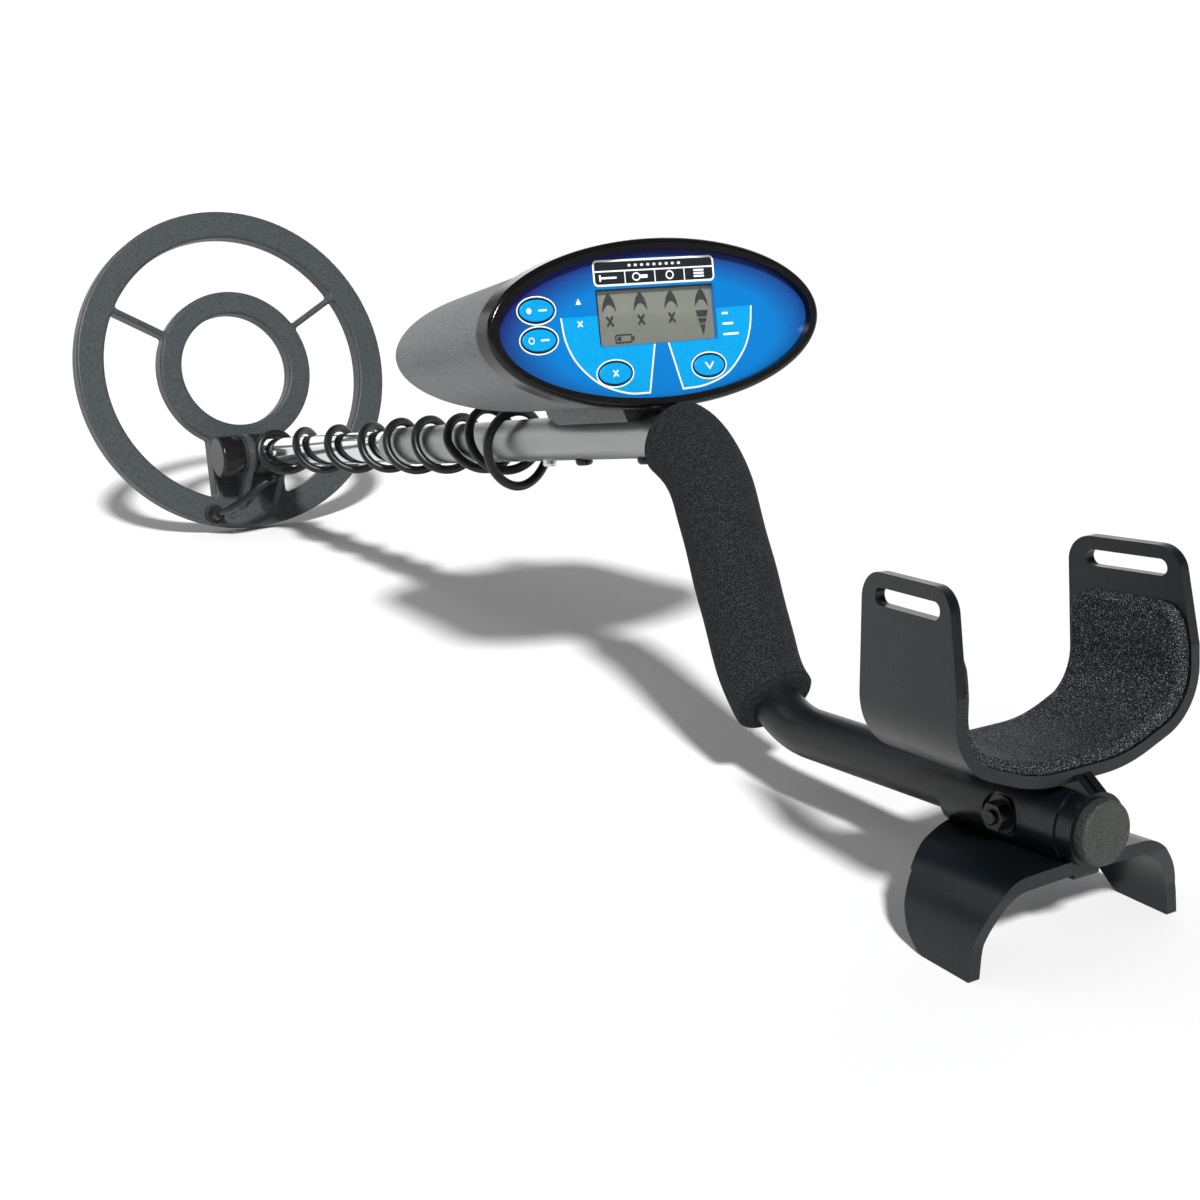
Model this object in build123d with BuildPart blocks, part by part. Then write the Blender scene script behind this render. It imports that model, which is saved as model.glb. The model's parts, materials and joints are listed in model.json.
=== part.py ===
from build123d import *
import math
import os

os.makedirs("parts", exist_ok=True)

# ---------------------------------------------------------------- driving dimensions (mm)
# Search coil
COIL_X = -345.5
COIL_TILT = 16.4
COIL_R = 101.6
RING_IN = 84.7
HUB_OUT = 49.9
HUB_IN = 35.8
COIL_T = 12.0
COVER_T = 2.6
COIL_EDGE = 1.6
SPOKE_W = 3.6
PIVOT_DROP = 57.0
PIVOT_RISE = 20.6
EAR_R = 12.5
EAR_IN = 9.1
EAR_OUT = 12.9
BOLT_R = 4.0
RUN_FIT = 0.05

# Stem and tubes
STEM_SLOPE = 9.9
TIP_HALF = 6.8
LOWER_R = 8.7
LOWER_WALL = 1.2
LOWER_START = 14.8
LOWER_END = 376.0
UPPER_R = 9.8
UPPER_BORE = 8.78
UPPER_START = 197.6
REAR_R = 9.6
REAR_BORE = 8.4
CORNER_1 = 480.5
MID_SLOPE = -63.4
MID_LENGTH = 117.9
REAR_SLOPE = 4.3
REAR_LENGTH = 163.0
BEND_R = 38.0
BUTTON_S = 361.0
BUTTON_R = 3.3
HOLE_PITCH = 20.0
HOLE_COUNT = 7
SCREW_S = (391.4, 441.6)

# Foam grip
GRIP_R = 16.5
GRIP_START_ANGLE = 20.0
GRIP_END_ANGLE = 31.0

# Control housing
FACE_S = 461.6
FACE_H = 44.6
FACE_A = 80.2
FACE_B = 34.1
FAR_S = 355.0
FAR_H = 41.4
FAR_A = 71.5
FAR_B = 28.2
WALL = 2.2
BEZEL_W = 4.6

# Arm rest
REST_START = 107.0
REST_END = 158.0
WING_START = 110.0
SLEEVE_R = 12.9
SLEEVE_END = 164.5
CRADLE = ((-49.7, 82.0), (-52.0, 27.5), (-20.0, 15.0), (20.0, 15.0), (52.0, 27.5), (49.7, 82.0))
CRADLE_RADII = (22.0, 60.0, 60.0, 22.0)
CRADLE_FLARE = 5.0
CRADLE_T = 4.0
PAD_T = 3.6
PAD_TOP = 64.0
STAND_BOLT_S = 135.0
RECESS_Y = 10.9

# Cable
CABLE_D = 4.4


# ---------------------------------------------------------------- frames
def cosd(angle):
    return math.cos(math.radians(angle))


def sind(angle):
    return math.sin(math.radians(angle))


COIL_Z = (COIL_R - COIL_EDGE) * cosd(COIL_TILT) + (COIL_T - COIL_EDGE) * sind(COIL_TILT) + COIL_EDGE
COIL = Plane(
    origin=(COIL_X, 0, COIL_Z),
    x_dir=(0, 1, 0),
    z_dir=(cosd(COIL_TILT), 0, sind(COIL_TILT)),
)
PIVOT = COIL.from_local_coords((0, -PIVOT_DROP, PIVOT_RISE))
STEM = Plane(
    origin=PIVOT,
    x_dir=(cosd(STEM_SLOPE), 0, sind(STEM_SLOPE)),
    z_dir=(-sind(STEM_SLOPE), 0, cosd(STEM_SLOPE)),
)
SIDE = Plane(origin=(0, 0, 0), x_dir=(1, 0, 0), z_dir=(0, -1, 0))
BEND_1 = STEM.from_local_coords((CORNER_1, 0, 0))
BEND_2 = BEND_1 + Vector(MID_LENGTH * cosd(MID_SLOPE), 0, MID_LENGTH * sind(MID_SLOPE))
REAR = Plane(
    origin=BEND_2,
    x_dir=(cosd(REAR_SLOPE), 0, sind(REAR_SLOPE)),
    z_dir=(-sind(REAR_SLOPE), 0, cosd(REAR_SLOPE)),
)
TURN_1 = STEM_SLOPE - MID_SLOPE
TURN_2 = REAR_SLOPE - MID_SLOPE


def across(frame, s, y=0.0, h=0.0):
    """Section plane of a tube frame: sketch x is +Y, sketch y is up, normal runs along the tube."""
    return Plane(origin=frame.from_local_coords((s, y, h)), x_dir=(0, 1, 0), z_dir=frame.x_dir)


def beside(frame, y=0.0):
    """Side plane of a tube frame: sketch x runs along the tube, sketch y is up, normal is -Y."""
    return Plane(origin=frame.from_local_coords((0, y, 0)), x_dir=frame.x_dir, z_dir=(0, -1, 0))


def above(frame, h, s=0.0, y=0.0):
    """Plane seen from above a tube frame: sketch x runs along the tube, sketch y is +Y."""
    return Plane(origin=frame.from_local_coords((s, y, h)), x_dir=frame.x_dir, z_dir=frame.z_dir)


def coil_side(y=0.0):
    """Side plane of the coil: sketch x runs from heel to toe, sketch y is out of the face."""
    return Plane(origin=COIL.from_local_coords((y, 0, 0)), x_dir=COIL.y_dir, z_dir=(0, 1, 0))


def side_point(vector):
    return (vector.X, vector.Z)


def inset(points, distance):
    """Move an open chain of lines to its left by a distance and return its new corners."""
    lines = []
    for start, end in zip(points[:-1], points[1:]):
        run = math.dist(start, end)
        dx = (end[0] - start[0]) / run
        dy = (end[1] - start[1]) / run
        lines.append((start[0] - dy * distance, start[1] + dx * distance, dx, dy, run))
    corners = [(lines[0][0], lines[0][1])]
    for first, second in zip(lines[:-1], lines[1:]):
        cross = first[2] * second[3] - first[3] * second[2]
        gap = ((second[0] - first[0]) * second[3] - (second[1] - first[1]) * second[2]) / cross
        corners.append((first[0] + first[2] * gap, first[1] + first[3] * gap))
    last = lines[-1]
    corners.append((last[0] + last[2] * last[4], last[1] + last[3] * last[4]))
    return corners


def flared(points, station):
    """Cradle corners at a station along the rear tube: the two wings open towards the back."""
    shift = math.tan(math.radians(CRADLE_FLARE)) * (station - (WING_START + REST_END) / 2)
    return [(y + math.copysign(shift, y * shift) if abs(y) > 40 else y, h) for y, h in points]


def save(builder, label):
    builder.part.label = label
    export_step(builder.part, f"parts/{label}.step")


# ---------------------------------------------------------------- search coil
def coil_outline():
    Circle(COIL_R)
    Circle(RING_IN, mode=Mode.SUBTRACT)
    Circle(HUB_OUT)
    with PolarLocations((RING_IN + HUB_OUT) / 2, 2, start_angle=30, angular_range=240):
        Rectangle(RING_IN - HUB_OUT + 6, SPOKE_W)
    Polygon((-25, -40), (-27, -90), (20, -90), (22, -40), align=None)
    Circle(HUB_IN, mode=Mode.SUBTRACT)


def crossings(builder):
    """Upright edges where the spokes and the bridge meet the two rings."""
    chosen = []
    for edge in builder.edges().filter_by(Axis(COIL.origin, COIL.z_dir)):
        spot = COIL.to_local_coords(edge.center())
        radius = math.hypot(spot.X, spot.Y)
        if min(abs(radius - RING_IN), abs(radius - HUB_OUT)) < 0.02 and abs(spot.Y) > 1:
            chosen.append(edge)
    return chosen


with BuildPart() as coil_shell:
    with BuildSketch(COIL.offset(COVER_T - COIL_T)):
        coil_outline()
    extrude(amount=COIL_T - COVER_T)
    fillet(crossings(coil_shell), 2.0)
    fillet(coil_shell.faces().sort_by(Axis(COIL.origin, COIL.z_dir))[-1].edges(), COIL_EDGE)
    with BuildSketch(COIL.offset(COVER_T - COIL_T)):
        Circle(COIL_R - 2.2)
        Circle(RING_IN + 2.2, mode=Mode.SUBTRACT)
        Circle(HUB_OUT - 2.2)
        Circle(HUB_IN + 2.2, mode=Mode.SUBTRACT)
    extrude(amount=6.6, mode=Mode.SUBTRACT)
    for low, high in ((EAR_IN, EAR_OUT), (-EAR_OUT, -EAR_IN)):
        with BuildSketch(coil_side(low)):
            with Locations((-PIVOT_DROP, PIVOT_RISE)):
                Circle(EAR_R)
            with Locations((-66, -0.4)):
                Rectangle(48, 0.8)
            make_hull()
        extrude(amount=high - low)
    with BuildSketch(coil_side(0)):
        with Locations((-PIVOT_DROP, PIVOT_RISE)):
            Circle(BOLT_R + RUN_FIT)
    extrude(amount=20, both=True, mode=Mode.SUBTRACT)
save(coil_shell, "coil_shell")

with BuildPart() as coil_cover:
    with BuildSketch(COIL.offset(-COIL_T)):
        coil_outline()
    extrude(amount=COVER_T)
    fillet(crossings(coil_cover), 2.0)
    fillet(coil_cover.faces().sort_by(Axis(COIL.origin, COIL.z_dir))[0].edges(), COIL_EDGE)
save(coil_cover, "coil_cover")

for label, outer, inner in (
    ("transmit_winding", COIL_R - 3.6, RING_IN + 3.6),
    ("receive_winding", HUB_OUT - 3.2, HUB_IN + 3.2),
):
    with BuildPart() as winding:
        with BuildSketch(COIL.offset(COVER_T - COIL_T + 0.8)):
            Circle(outer)
            Circle(inner, mode=Mode.SUBTRACT)
        extrude(amount=5.8)
    save(winding, label)

# strain relief of the cable and the plug screw beside it
with BuildPart() as coil_gland:
    with BuildSketch(COIL):
        with Locations((-30, -91)):
            Circle(6.2)
    extrude(amount=2.2)
    fillet(coil_gland.faces().sort_by(Axis(COIL.origin, COIL.z_dir))[-1].edges(), 0.8)
    with BuildSketch(COIL.offset(2.2)):
        with Locations((-30, -91)):
            Circle(4.4)
    extrude(amount=9, taper=6)
    with BuildSketch(COIL.offset(4.2)):
        with Locations((-30, -91)):
            Circle(CABLE_D / 2)
    extrude(amount=12, mode=Mode.SUBTRACT)
save(coil_gland, "coil_gland")

with BuildPart() as coil_screw:
    with BuildSketch(COIL):
        with Locations((-18.5, -92)):
            Circle(2.5)
    extrude(amount=1.6)
    fillet(coil_screw.faces().sort_by(Axis(COIL.origin, COIL.z_dir))[-1].edges(), 0.7)
    with BuildSketch(COIL.offset(1.6)):
        with Locations((-18.5, -92)):
            Rectangle(3.2, 0.7, rotation=35)
    extrude(amount=-0.7, mode=Mode.SUBTRACT)
save(coil_screw, "coil_screw")

# ---------------------------------------------------------------- pivot
with BuildPart() as clevis_bolt:
    with BuildSketch(beside(STEM, EAR_OUT + 4.6)):
        RegularPolygon(6.8, 6)
    extrude(amount=4.6)
    chamfer(clevis_bolt.faces().sort_by(Axis.Y)[-1].edges(), 0.7)
    with BuildSketch(beside(STEM, EAR_OUT)):
        Circle(BOLT_R)
    extrude(amount=EAR_OUT + 25)
save(clevis_bolt, "clevis_bolt")

with BuildPart() as clamp_knob:
    with BuildSketch(beside(STEM, -EAR_OUT - 1.6)):
        Circle(10.0)
    extrude(amount=7.4)
    with BuildSketch(beside(STEM, -EAR_OUT - 5.0)):
        Circle(11.2)
    extrude(amount=2.6)
    with BuildSketch(beside(STEM, -EAR_OUT - 7.6)):
        Circle(12.6)
    extrude(amount=9.0)
    fillet(clamp_knob.faces().sort_by(Axis.Y)[0].edges(), 1.6)
    with BuildSketch(beside(STEM, -EAR_OUT - 7.0)):
        with PolarLocations(12.95, 60):
            Circle(0.6)
    extrude(amount=8.0, mode=Mode.SUBTRACT)
    with BuildSketch(beside(STEM, -EAR_OUT)):
        Circle(BOLT_R + RUN_FIT)
    extrude(amount=13.2, mode=Mode.SUBTRACT)
save(clamp_knob, "clamp_knob")

with BuildPart() as knob_washer:
    with BuildSketch(beside(STEM, -EAR_OUT)):
        Circle(11.4)
        Circle(BOLT_R + RUN_FIT, mode=Mode.SUBTRACT)
    extrude(amount=1.55)
save(knob_washer, "knob_washer")

for label, start in (("friction_washer_near", -TIP_HALF - 0.02), ("friction_washer_far", EAR_IN - 0.02)):
    with BuildPart() as washer:
        with BuildSketch(beside(STEM, start)):
            Circle(12.0)
            Circle(BOLT_R + RUN_FIT, mode=Mode.SUBTRACT)
        extrude(amount=EAR_IN - TIP_HALF - 0.04)
        fillet(washer.edges().filter_by(GeomType.CIRCLE).sort_by(SortBy.LENGTH)[-2:], 0.5)
    save(washer, label)

# ---------------------------------------------------------------- stem
with BuildPart() as stem_tip:
    with BuildSketch(beside(STEM)):
        Circle(12.6)
        with Locations((12.8, 0)):
            Rectangle(0.8, 12.4)
        make_hull()
    extrude(amount=TIP_HALF, both=True)
    with BuildSketch(across(STEM, 12.9)):
        Circle(LOWER_R)
    extrude(amount=LOWER_START - 12.9)
    with BuildSketch(across(STEM, LOWER_START)):
        Circle(LOWER_R - LOWER_WALL - 0.03)
    extrude(amount=48)
    chamfer(stem_tip.faces().sort_by(Axis(PIVOT, STEM.x_dir))[-1].edges(), 1.0)
    with BuildSketch(beside(STEM)):
        Circle(BOLT_R + RUN_FIT)
        with Locations((43, 0)):
            Circle(1.8)
    extrude(amount=20, both=True, mode=Mode.SUBTRACT)
save(stem_tip, "stem_tip")

with BuildPart() as stem_pin:
    with BuildSketch(beside(STEM)):
        with Locations((43, 0)):
            Circle(1.77)
    extrude(amount=LOWER_R + 0.9, both=True)
    fillet(stem_pin.edges().filter_by(GeomType.CIRCLE), 0.5)
save(stem_pin, "stem_pin")

with BuildPart() as lower_tube:
    with BuildSketch(across(STEM, LOWER_START)):
        Circle(LOWER_R)
        Circle(LOWER_R - LOWER_WALL, mode=Mode.SUBTRACT)
    extrude(amount=LOWER_END - LOWER_START)
    with BuildSketch(beside(STEM)):
        with Locations((43, 0)):
            Circle(1.8)
    extrude(amount=20, both=True, mode=Mode.SUBTRACT)
    with BuildSketch(above(STEM, 0)):
        with Locations((BUTTON_S, 0)):
            Circle(BUTTON_R + 0.2)
    extrude(amount=-20, mode=Mode.SUBTRACT)
save(lower_tube, "lower_tube")

with BuildPart() as spring_button:
    with BuildSketch(above(STEM, -6.2)):
        with Locations((BUTTON_S, 0)):
            Circle(BUTTON_R)
    extrude(amount=-6.2)
    fillet(spring_button.faces().sort_by(Axis(PIVOT, STEM.z_dir))[0].edges(), 1.3)
save(spring_button, "spring_button")

with BuildPart() as spring_leaf:
    with BuildSketch(beside(STEM)):
        with BuildLine():
            FilletPolyline((BUTTON_S + 8, -5.8), (BUTTON_S - 30, -5.8), (BUTTON_S - 30, 5.9),
                           (BUTTON_S + 2, 5.9), radius=5.0)
            offset(amount=0.35)
        make_face()
    extrude(amount=2.6, both=True)
save(spring_leaf, "spring_leaf")

with BuildPart() as upper_tube:
    with BuildLine():
        FilletPolyline(
            STEM.from_local_coords((UPPER_START, 0, 0)),
            BEND_1,
            BEND_1 + (BEND_2 - BEND_1).normalized() * 52,
            radius=BEND_R,
        )
    with BuildSketch(across(STEM, UPPER_START)):
        Circle(UPPER_R)
        Circle(UPPER_BORE, mode=Mode.SUBTRACT)
    sweep()
    with BuildSketch(above(STEM, 0)):
        with Locations([(BUTTON_S - HOLE_PITCH * index, 0) for index in range(HOLE_COUNT)]):
            Circle(BUTTON_R + 0.35)
    extrude(amount=-20, mode=Mode.SUBTRACT)
    with BuildSketch(above(STEM, 0)):
        with Locations((SCREW_S[0], 0), (SCREW_S[1], 0)):
            Circle(2.1)
    extrude(amount=14, both=True, mode=Mode.SUBTRACT)
save(upper_tube, "upper_tube")

with BuildPart() as rear_tube:
    mid = (BEND_2 - BEND_1).normalized()
    spigot_start = BEND_1 + mid * 34
    spigot_end = BEND_1 + mid * 52.2
    rear_end = REAR.from_local_coords((REAR_LENGTH, 0, 0))
    with BuildLine():
        FilletPolyline(spigot_end, BEND_2, rear_end, radius=BEND_R)
    with BuildSketch(Plane(origin=spigot_end, x_dir=(0, 1, 0), z_dir=mid)):
        Circle(REAR_R)
    sweep()
    with BuildSketch(Plane(origin=spigot_start, x_dir=(0, 1, 0), z_dir=mid)):
        Circle(UPPER_BORE - 0.03)
    extrude(amount=(spigot_end - spigot_start).length + 0.5)
    with BuildLine():
        FilletPolyline(spigot_start - mid * 0.5, BEND_2, rear_end + REAR.x_dir * 0.5, radius=BEND_R)
    with BuildSketch(Plane(origin=spigot_start - mid * 0.5, x_dir=(0, 1, 0), z_dir=mid)):
        Circle(UPPER_BORE - 1.2)
    sweep(mode=Mode.SUBTRACT)
    with BuildSketch(across(REAR, REAR_LENGTH + 1)):
        Circle(REAR_BORE)
    extrude(amount=-18, mode=Mode.SUBTRACT)
    with BuildSketch(beside(REAR)):
        with Locations((STAND_BOLT_S, 0)):
            Circle(2.55)
    extrude(amount=20, both=True, mode=Mode.SUBTRACT)
save(rear_tube, "rear_tube")

# ---------------------------------------------------------------- foam grip
with BuildPart() as foam_grip:
    bend_start = STEM.from_local_coords((CORNER_1 - BEND_R * math.tan(math.radians(TURN_1 / 2)), 0, 0))
    bend_centre = bend_start - STEM.z_dir * BEND_R
    heading = STEM_SLOPE - GRIP_START_ANGLE
    grip_start = bend_centre + Vector(-sind(heading), 0, cosd(heading)) * BEND_R
    straight = MID_LENGTH - BEND_R * (
        math.tan(math.radians(TURN_1 / 2)) + math.tan(math.radians(TURN_2 / 2))
    )
    with BuildLine(SIDE):
        first = JernArc(
            start=side_point(grip_start),
            tangent=(cosd(heading), sind(heading)),
            radius=BEND_R,
            arc_size=GRIP_START_ANGLE - TURN_1,
        )
        second = Line(first @ 1, first @ 1 + (first % 1) * straight)
        JernArc(start=second @ 1, tangent=second % 1, radius=BEND_R, arc_size=GRIP_END_ANGLE)
    with BuildSketch(Plane(origin=grip_start, x_dir=(0, 1, 0), z_dir=(cosd(heading), 0, sind(heading)))):
        Circle(GRIP_R)
        Circle(UPPER_R + 0.05, mode=Mode.SUBTRACT)
    sweep()
    rims = foam_grip.edges().filter_by(GeomType.CIRCLE).filter_by(lambda rim: abs(rim.radius - GRIP_R) < 0.1)
    fillet(rims, 2.6)
save(foam_grip, "foam_grip")


# ---------------------------------------------------------------- control housing
def body_form(grow, far_step, front_s, far_round):
    """Rounded form of the housing, grown by a distance, from the far end to a station at the face."""
    ratio = (front_s - FAR_S) / (FACE_S - FAR_S)
    with BuildPart() as form:
        with BuildSketch(across(STEM, FAR_S + far_step, 0, FAR_H)):
            Ellipse(FAR_A + grow, FAR_B + grow)
        with BuildSketch(across(STEM, front_s, 0, FAR_H + (FACE_H - FAR_H) * ratio)):
            Ellipse(
                FAR_A + (FACE_A - 1.2 - FAR_A) * ratio + grow,
                FAR_B + (FACE_B - 1.2 - FAR_B) * ratio + grow,
            )
        loft()
        fillet(form.faces().sort_by(Axis(PIVOT, STEM.x_dir))[0].edges(), far_round)
    return form.part


def key_spots():
    return ((-56.6, 8.3), (-56.6, -3.2), (-23.0, -18.4), (23.0, -18.4))


BEZEL_S = FACE_S - 9.0
DOOR_Y = (-47.0, 13.0)
DOOR_H = (FAR_H - 11.4, FAR_H + 11.4)
SOCKET_Y = 38.0
JACK_Y = 54.5
SPEAKER = (415.0, 40.0)
SPEAKER_H = 25.5

with BuildPart() as housing_shell:
    add(body_form(0.0, 0.0, BEZEL_S, 9.0))
    add(body_form(-WALL, WALL, BEZEL_S, 7.0), mode=Mode.SUBTRACT)
    with BuildSketch(above(STEM, 13.0)):
        with Locations((SCREW_S[0], 0), (SCREW_S[1], 0)):
            Circle(5.0)
    extrude(amount=11)
    with BuildSketch(above(STEM, SPEAKER_H - 2.9)):
        with Locations(SPEAKER):
            Circle(17.0)
            Circle(14.5, mode=Mode.SUBTRACT)
    extrude(amount=2.9)
    with BuildSketch(above(STEM, 0)):
        with Locations((SCREW_S[0], 0), (SCREW_S[1], 0)):
            Circle(2.05)
    extrude(amount=21, mode=Mode.SUBTRACT)
    with BuildSketch(across(STEM, FAR_S - 1)):
        with Locations(((DOOR_Y[0] + DOOR_Y[1]) / 2, FAR_H)):
            RectangleRounded(DOOR_Y[1] - DOOR_Y[0] + 0.7, DOOR_H[1] - DOOR_H[0] + 0.7, 2.5)
        with Locations((SOCKET_Y, FAR_H)):
            Circle(8.0)
        with Locations((JACK_Y, FAR_H)):
            Circle(4.5)
    extrude(amount=WALL + 3, mode=Mode.SUBTRACT)
    with BuildSketch(beside(STEM, DOOR_Y[1] - 5.7)):
        with Locations((FAR_S, DOOR_H[0])):
            Circle(1.4)
    extrude(amount=DOOR_Y[1] - DOOR_Y[0] - 11.4, mode=Mode.SUBTRACT)
    with BuildSketch(above(STEM, 0)):
        with Locations(SPEAKER):
            Circle(1.3)
            with PolarLocations(6, 6):
                Circle(1.3)
            with PolarLocations(12, 12):
                Circle(1.3)
    extrude(amount=32, mode=Mode.SUBTRACT)
save(housing_shell, "housing_shell")

with BuildPart() as bezel:
    with BuildSketch(across(STEM, BEZEL_S, 0, FACE_H)):
        Ellipse(FACE_A, FACE_B)
    extrude(amount=FACE_S + 1.5 - BEZEL_S)
    fillet(bezel.faces().sort_by(Axis(PIVOT, STEM.x_dir))[-1].edges(), 2.0)
    with BuildSketch(across(STEM, BEZEL_S - 1, 0, FACE_H)):
        Ellipse(FACE_A - BEZEL_W, FACE_B - BEZEL_W)
    extrude(amount=14, mode=Mode.SUBTRACT)
save(bezel, "bezel")

PANEL_S = FACE_S - 4.0
with BuildPart() as face_panel:
    with BuildSketch(across(STEM, PANEL_S, 0, FACE_H)):
        Ellipse(FACE_A - BEZEL_W, FACE_B - BEZEL_W)
        with Locations((0, 3.4)):
            RectangleRounded(56.8, 22.0, 2.0, mode=Mode.SUBTRACT)
        with Locations(key_spots()):
            Ellipse(7.9, 4.6, mode=Mode.SUBTRACT)
    extrude(amount=2.0)
save(face_panel, "face_panel")

with BuildPart() as display_window:
    with BuildSketch(across(STEM, PANEL_S, 0, FACE_H)):
        with Locations((0, 3.4)):
            RectangleRounded(56.8, 22.0, 2.0)
    extrude(amount=1.5)
save(display_window, "display_window")

with BuildPart() as display_module:
    with BuildSketch(across(STEM, PANEL_S, 0, FACE_H)):
        with Locations((0, 3.4)):
            Rectangle(62, 26)
    extrude(amount=-3.0)
save(display_module, "display_module")

for label, spot in zip(("key_on", "key_off", "key_reject", "key_depth"), key_spots()):
    with BuildPart() as key:
        with BuildSketch(across(STEM, PANEL_S + 0.2, 0, FACE_H)):
            with Locations(spot):
                Ellipse(7.6, 4.3)
        extrude(amount=2.3)
        fillet(key.faces().sort_by(Axis(PIVOT, STEM.x_dir))[-1].edges(), 0.5)
    save(key, label)

with BuildPart() as circuit_board:
    with BuildSketch(across(STEM, PANEL_S - 5.6, 0, FACE_H)):
        Ellipse(FACE_A - BEZEL_W - 4.5, FACE_B - BEZEL_W - 4.0)
    extrude(amount=1.6)
    with BuildSketch(across(STEM, PANEL_S - 4.0, 0, FACE_H)):
        with Locations(key_spots()):
            Rectangle(6, 6)
        with Locations((-24, 3.4), (24, 3.4)):
            Rectangle(4, 12)
    extrude(amount=1.0)
    with BuildSketch(across(STEM, PANEL_S - 3.0, 0, FACE_H)):
        with Locations(key_spots()):
            Circle(1.6)
    extrude(amount=2.6)
    with BuildSketch(across(STEM, PANEL_S - 5.6, 0, FACE_H)):
        with Locations((-10, 8), (14, 6)):
            Rectangle(12, 12)
        with Locations((36, -6), (36, 4), (-34, -2)):
            Circle(2.6)
    extrude(amount=-3.0)
save(circuit_board, "circuit_board")

BOX_S = (FAR_S + WALL + 2.0, 409.0)
with BuildPart() as battery_box:
    with BuildSketch(across(STEM, BOX_S[0], 0, FAR_H)):
        with Locations(((DOOR_Y[0] + DOOR_Y[1]) / 2, 0)):
            Rectangle(DOOR_Y[1] - DOOR_Y[0] + 3.6, 23.6)
    extrude(amount=BOX_S[1] - BOX_S[0])
    with BuildSketch(across(STEM, BOX_S[0], 0, FAR_H)):
        with Locations((-31.5, 0), (-2.5, 0)):
            Rectangle(27.2, 19.0)
    extrude(amount=BOX_S[1] - BOX_S[0] - 2.0, mode=Mode.SUBTRACT)
save(battery_box, "battery_box")

for label, middle in (("battery_near", -31.5), ("battery_far", -2.5)):
    with BuildPart() as battery:
        with BuildSketch(across(STEM, BOX_S[0] + 0.6, middle, FAR_H - 0.7)):
            Rectangle(26.5, 17.5)
        extrude(amount=45.9)
        fillet(battery.edges().filter_by(Axis(PIVOT, STEM.x_dir)), 2.0)
        with BuildSketch(across(STEM, BOX_S[0] + 46.5, middle, FAR_H - 0.7)):
            with Locations((-6.4, 0)):
                Circle(2.9)
            with Locations((6.4, 0)):
                RegularPolygon(4.2, 6)
        extrude(amount=1.3)
    save(battery, label)

with BuildPart() as battery_door:
    with BuildSketch(across(STEM, FAR_S, 0, FAR_H)):
        with Locations(((DOOR_Y[0] + DOOR_Y[1]) / 2, 0)):
            RectangleRounded(DOOR_Y[1] - DOOR_Y[0], DOOR_H[1] - DOOR_H[0], 2.2)
    extrude(amount=WALL)
    with BuildSketch(across(STEM, FAR_S, 0, DOOR_H[1] - 4.0)):
        with Locations([((DOOR_Y[0] + DOOR_Y[1]) / 2, -1.2 * index) for index in range(4)]):
            Rectangle(14, 0.6)
    extrude(amount=0.7, mode=Mode.SUBTRACT)
    with BuildSketch(beside(STEM, DOOR_Y[1] - 6)):
        with Locations((FAR_S, DOOR_H[0])):
            Circle(1.1)
    extrude(amount=DOOR_Y[1] - DOOR_Y[0] - 12)
save(battery_door, "battery_door")

with BuildPart() as speaker:
    with BuildSketch(above(STEM, SPEAKER_H)):
        with Locations(SPEAKER):
            Circle(16.0)
    extrude(amount=3.0)
    with BuildSketch(above(STEM, SPEAKER_H + 3.0)):
        with Locations(SPEAKER):
            Circle(9.0)
    extrude(amount=8.0, taper=4)
save(speaker, "speaker")

with BuildPart() as coil_socket:
    with BuildSketch(across(STEM, FAR_S - 1.2, SOCKET_Y, FAR_H)):
        Circle(9.6)
    extrude(amount=1.2)
    with BuildSketch(across(STEM, FAR_S, SOCKET_Y, FAR_H)):
        Circle(7.9)
    extrude(amount=12)
    with BuildSketch(across(STEM, FAR_S - 1.2, SOCKET_Y, FAR_H)):
        Circle(6.6)
    extrude(amount=9.5, mode=Mode.SUBTRACT)
    with BuildSketch(across(STEM, FAR_S + 8.3, SOCKET_Y, FAR_H)):
        with PolarLocations(3.6, 5):
            Circle(0.6)
    extrude(amount=-5, mode=Mode.ADD)
save(coil_socket, "coil_socket")

with BuildPart() as coil_plug:
    with BuildSketch(across(STEM, FAR_S + 2.6, SOCKET_Y, FAR_H)):
        Circle(6.5)
    extrude(amount=-4.0)
    with BuildSketch(across(STEM, FAR_S - 1.35, SOCKET_Y, FAR_H)):
        Circle(8.6)
    extrude(amount=-11.0)
    with BuildSketch(across(STEM, FAR_S - 2.3, SOCKET_Y, FAR_H)):
        with PolarLocations(9.0, 24):
            Circle(0.75)
    extrude(amount=-9.0, mode=Mode.SUBTRACT)
    with BuildSketch(across(STEM, FAR_S - 12.35, SOCKET_Y, FAR_H)):
        Circle(6.6)
    extrude(amount=-8.0)
    with BuildSketch(across(STEM, FAR_S - 20.35, SOCKET_Y, FAR_H)):
        Circle(4.6)
    extrude(amount=-12.0, taper=5)
    with BuildSketch(across(STEM, FAR_S - 26.0, SOCKET_Y, FAR_H)):
        Circle(CABLE_D / 2)
    extrude(amount=-10.0, mode=Mode.SUBTRACT)
save(coil_plug, "coil_plug")

with BuildPart() as headphone_jack:
    with BuildSketch(across(STEM, FAR_S - 1.0, JACK_Y, FAR_H)):
        Circle(5.6)
    extrude(amount=1.0)
    with BuildSketch(across(STEM, FAR_S, JACK_Y, FAR_H)):
        Circle(4.45)
    extrude(amount=26)
    with BuildSketch(across(STEM, FAR_S - 1.0, JACK_Y, FAR_H)):
        Circle(3.2)
    extrude(amount=25, mode=Mode.SUBTRACT)
save(headphone_jack, "headphone_jack")

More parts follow.
